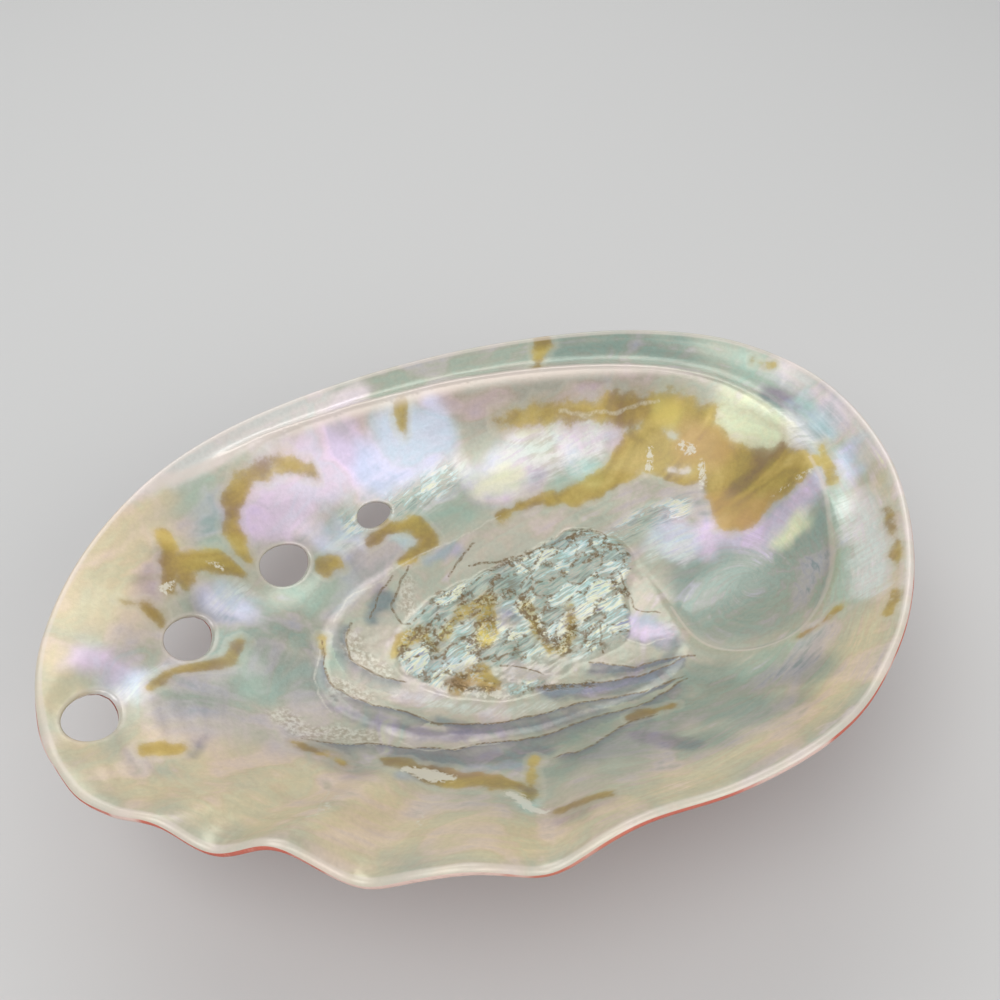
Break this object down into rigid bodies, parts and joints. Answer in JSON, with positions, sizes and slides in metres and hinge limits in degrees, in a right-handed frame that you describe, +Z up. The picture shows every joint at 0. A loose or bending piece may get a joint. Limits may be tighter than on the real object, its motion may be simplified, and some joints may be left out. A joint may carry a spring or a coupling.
{
  "type": "abalone shell",
  "caption": "Ear-shaped abalone shell lying open side up: a shallow pearly bowl with a row of breathing holes, a shelf along one lip, a spire pit and a rough muscle scar.",
  "frame": {"origin": "under the middle of the shell's bounding box, on the plane of the flat spot it rests on", "axes": "+X runs along the length to the spire end, +Y runs across to the columella shelf's side, +Z points up out of the open side"},
  "size_m": [0.1796, 0.1305, 0.0431],
  "materials": {
    "shell": "pearly, satin gloss inside; brick red and matt outside"
  },
  "bodies": {
    "root": {"shell": "shell"}
  },
  "joints": []
}
